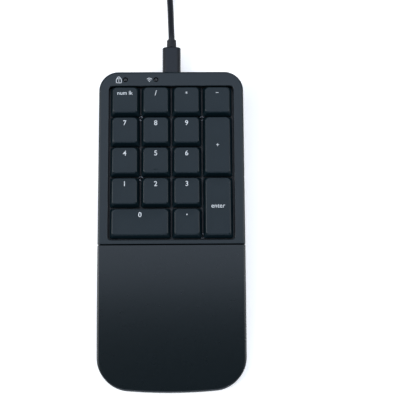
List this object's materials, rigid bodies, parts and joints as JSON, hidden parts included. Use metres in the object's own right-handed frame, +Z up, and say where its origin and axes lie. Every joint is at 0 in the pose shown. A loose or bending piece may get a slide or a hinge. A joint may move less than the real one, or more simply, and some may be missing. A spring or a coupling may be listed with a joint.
{
  "type": "numeric keypad",
  "caption": "Flat numeric keypad with low-profile sprung keys in a tilted deck, a curved palm support in front and a plug-in charging lead at the rear.",
  "frame": {"origin": "on the table, under the middle of the case without its lead", "axes": "+Y towards the rear wall with the charging socket, +Z up, +X to the right of someone typing"},
  "size_m": [0.1427, 0.3247, 0.0218],
  "materials": {
    "case_plastic": "fine satin texture",
    "palm_plastic": "fine satin texture",
    "key_plastic": "satin, printed legends",
    "switch_plastic": "smooth moulded",
    "plate_steel": "dark powder coat",
    "wire_steel": "drawn wire",
    "board_laminate": "solder mask",
    "battery_foil": "foil pouch",
    "lamp_lens": "clear moulded",
    "foot_rubber": "matt",
    "plug_metal": "nickel plated",
    "lead_rubber": "satin jacket",
    "grip_plastic": "satin overmould"
  },
  "bodies": {
    "case": {"upper_case": "case_plastic", "palm_cover": "palm_plastic", "lower_case": "case_plastic", "switch_plate": "plate_steel", "circuit_board": "board_laminate", "battery": "battery_foil", "numlock_lamp": "lamp_lens", "wireless_lamp": "lamp_lens", "usb_socket": "plug_metal", "foot_front_left": "foot_rubber", "foot_front_right": "foot_rubber", "foot_rear_left": "foot_rubber", "foot_rear_right": "foot_rubber", "usb_c_plug_shell": "plug_metal", "usb_c_plug_grip": "grip_plastic", "strain_relief": "lead_rubber", "cable": "lead_rubber", "cable_coil": "lead_rubber", "cable_tail": "lead_rubber", "usb_a_plug_grip": "grip_plastic", "usb_a_plug_shell": "plug_metal", "switch_num_lock": "switch_plastic", "switch_divide": "switch_plastic", "switch_multiply": "switch_plastic", "switch_subtract": "switch_plastic", "switch_7": "switch_plastic", "switch_8": "switch_plastic", "switch_9": "switch_plastic", "switch_add": "switch_plastic", "switch_4": "switch_plastic", "switch_5": "switch_plastic", "switch_6": "switch_plastic", "switch_1": "switch_plastic", "switch_2": "switch_plastic", "switch_3": "switch_plastic", "switch_enter": "switch_plastic", "switch_0": "switch_plastic", "switch_decimal": "switch_plastic"},
    "key_num_lock": {"keycap_num_lock": "key_plastic"},
    "key_divide": {"keycap_divide": "key_plastic"},
    "key_multiply": {"keycap_multiply": "key_plastic"},
    "key_subtract": {"keycap_subtract": "key_plastic"},
    "key_7": {"keycap_7": "key_plastic"},
    "key_8": {"keycap_8": "key_plastic"},
    "key_9": {"keycap_9": "key_plastic"},
    "key_add": {"keycap_add": "key_plastic"},
    "key_4": {"keycap_4": "key_plastic"},
    "key_5": {"keycap_5": "key_plastic"},
    "key_6": {"keycap_6": "key_plastic"},
    "key_1": {"keycap_1": "key_plastic"},
    "key_2": {"keycap_2": "key_plastic"},
    "key_3": {"keycap_3": "key_plastic"},
    "key_enter": {"keycap_enter": "key_plastic"},
    "key_0": {"keycap_0": "key_plastic"},
    "key_decimal": {"keycap_decimal": "key_plastic"},
    "wire_0": {"stabiliser_0": "wire_steel"},
    "wire_add": {"stabiliser_add": "wire_steel"},
    "wire_enter": {"stabiliser_enter": "wire_steel"},
    "power_knob": {"power_switch": "switch_plastic"},
    "pairing_stem": {"pairing_button": "switch_plastic"}
  },
  "joints": [
    {"name": "press_num_lock", "type": "slide", "parent": "case", "child": "key_num_lock", "axis": [0, -0.0523, 0.9986], "range_m": [-0.003, 0], "stiffness_N_per_m": 120, "springref_m": 0.003},
    {"name": "press_divide", "type": "slide", "parent": "case", "child": "key_divide", "axis": [0, -0.0523, 0.9986], "range_m": [-0.003, 0], "stiffness_N_per_m": 120, "springref_m": 0.003},
    {"name": "press_multiply", "type": "slide", "parent": "case", "child": "key_multiply", "axis": [0, -0.0523, 0.9986], "range_m": [-0.003, 0], "stiffness_N_per_m": 120, "springref_m": 0.003},
    {"name": "press_subtract", "type": "slide", "parent": "case", "child": "key_subtract", "axis": [0, -0.0523, 0.9986], "range_m": [-0.003, 0], "stiffness_N_per_m": 120, "springref_m": 0.003},
    {"name": "press_7", "type": "slide", "parent": "case", "child": "key_7", "axis": [0, -0.0523, 0.9986], "range_m": [-0.003, 0], "stiffness_N_per_m": 120, "springref_m": 0.003},
    {"name": "press_8", "type": "slide", "parent": "case", "child": "key_8", "axis": [0, -0.0523, 0.9986], "range_m": [-0.003, 0], "stiffness_N_per_m": 120, "springref_m": 0.003},
    {"name": "press_9", "type": "slide", "parent": "case", "child": "key_9", "axis": [0, -0.0523, 0.9986], "range_m": [-0.003, 0], "stiffness_N_per_m": 120, "springref_m": 0.003},
    {"name": "press_add", "type": "slide", "parent": "case", "child": "key_add", "axis": [0, -0.0523, 0.9986], "range_m": [-0.003, 0], "stiffness_N_per_m": 120, "springref_m": 0.003},
    {"name": "press_4", "type": "slide", "parent": "case", "child": "key_4", "axis": [0, -0.0523, 0.9986], "range_m": [-0.003, 0], "stiffness_N_per_m": 120, "springref_m": 0.003},
    {"name": "press_5", "type": "slide", "parent": "case", "child": "key_5", "axis": [0, -0.0523, 0.9986], "range_m": [-0.003, 0], "stiffness_N_per_m": 120, "springref_m": 0.003},
    {"name": "press_6", "type": "slide", "parent": "case", "child": "key_6", "axis": [0, -0.0523, 0.9986], "range_m": [-0.003, 0], "stiffness_N_per_m": 120, "springref_m": 0.003},
    {"name": "press_1", "type": "slide", "parent": "case", "child": "key_1", "axis": [0, -0.0523, 0.9986], "range_m": [-0.003, 0], "stiffness_N_per_m": 120, "springref_m": 0.003},
    {"name": "press_2", "type": "slide", "parent": "case", "child": "key_2", "axis": [0, -0.0523, 0.9986], "range_m": [-0.003, 0], "stiffness_N_per_m": 120, "springref_m": 0.003},
    {"name": "press_3", "type": "slide", "parent": "case", "child": "key_3", "axis": [0, -0.0523, 0.9986], "range_m": [-0.003, 0], "stiffness_N_per_m": 120, "springref_m": 0.003},
    {"name": "press_enter", "type": "slide", "parent": "case", "child": "key_enter", "axis": [0, -0.0523, 0.9986], "range_m": [-0.003, 0], "stiffness_N_per_m": 120, "springref_m": 0.003},
    {"name": "press_0", "type": "slide", "parent": "case", "child": "key_0", "axis": [0, -0.0523, 0.9986], "range_m": [-0.003, 0], "stiffness_N_per_m": 120, "springref_m": 0.003},
    {"name": "press_decimal", "type": "slide", "parent": "case", "child": "key_decimal", "axis": [0, -0.0523, 0.9986], "range_m": [-0.003, 0], "stiffness_N_per_m": 120, "springref_m": 0.003},
    {"name": "wire_turn_0", "type": "hinge", "parent": "case", "child": "wire_0", "pos_m": [-0.01905, 0.01148, 0.01001], "axis": [1, 0, 0], "range_deg": [0, 26.6]},
    {"name": "wire_turn_add", "type": "hinge", "parent": "case", "child": "wire_add", "pos_m": [0.03707, 0.05056, 0.01206], "axis": [0, -0.9986, -0.0523], "range_deg": [0, 26.6]},
    {"name": "wire_turn_enter", "type": "hinge", "parent": "case", "child": "wire_enter", "pos_m": [0.03707, 0.01251, 0.01006], "axis": [0, -0.9986, -0.0523], "range_deg": [0, 26.6]},
    {"name": "power_slide", "type": "slide", "parent": "case", "child": "power_knob", "axis": [1, 0, 0], "range_m": [0, 0.003]},
    {"name": "pairing_press", "type": "slide", "parent": "case", "child": "pairing_stem", "axis": [0, 0, 1], "range_m": [0, 0.0008], "stiffness_N_per_m": 300, "springref_m": -0.002}
  ],
  "couplings": [
    {"joint": "wire_turn_0", "follows": "press_0", "rad_per_m": -154.75},
    {"joint": "wire_turn_add", "follows": "press_add", "rad_per_m": -154.75},
    {"joint": "wire_turn_enter", "follows": "press_enter", "rad_per_m": -154.75}
  ]
}
